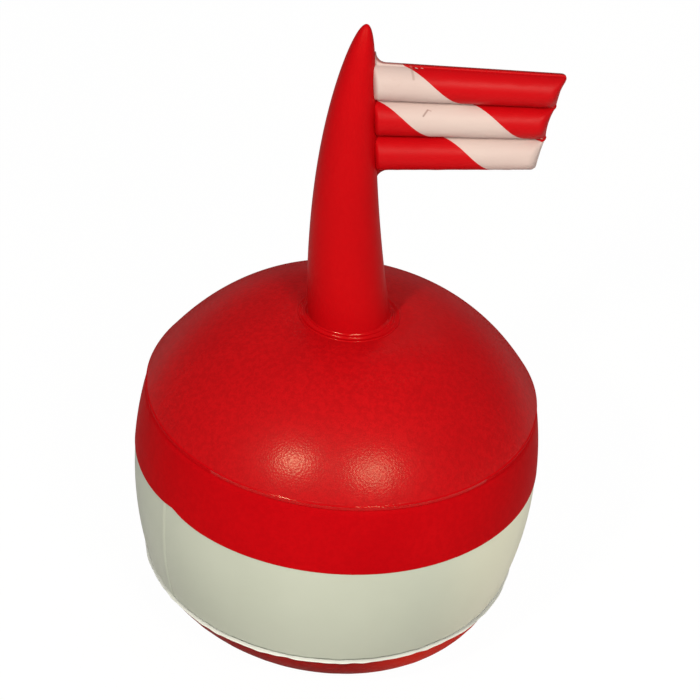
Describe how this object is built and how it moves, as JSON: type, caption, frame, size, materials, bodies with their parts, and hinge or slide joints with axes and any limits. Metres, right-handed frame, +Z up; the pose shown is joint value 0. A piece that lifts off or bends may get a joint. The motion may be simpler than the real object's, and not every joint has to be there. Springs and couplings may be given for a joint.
{
  "type": "inflatable dive marker buoy",
  "caption": "Inflatable diver's surface marker buoy: domed red and white welded body, tapered mast with a ribbed flag, inflation valve and a tie ring under the base.",
  "frame": {"origin": "centre of the base on the floor that it stands on", "axes": "+Z up along the body's axis, +X the way the flag points"},
  "size_m": [0.3308, 0.3308, 0.5285],
  "materials": {
    "red_film": "glossy soft PVC film",
    "mast_red_film": "glossy soft PVC film",
    "white_film": "glossy soft PVC film",
    "flag_white_film": "glossy soft PVC film",
    "valve_plastic": "moulded soft plastic",
    "webbing": "woven",
    "ring_steel": "satin stainless steel"
  },
  "bodies": {
    "buoy": {"top_panel": "red_film", "band_red": "red_film", "band_white": "white_film", "band_seam": "white_film", "bottom_lip": "white_film", "base_panel": "red_film", "mast": "mast_red_film", "mast_collar": "red_film", "flag_upper": "mast_red_film", "flag_stripe": "flag_white_film", "flag_lower": "mast_red_film", "valve_body": "valve_plastic", "valve_plug": "valve_plastic", "ring_patch": "red_film", "ring_loop": "webbing"},
    "ring": {"tie_ring": "ring_steel"}
  },
  "joints": [
    {"name": "ring_swing", "type": "hinge", "parent": "buoy", "child": "ring", "pos_m": [0, 0, 0.011], "axis": [0, 1, 0], "range_deg": [-30, 149]}
  ]
}
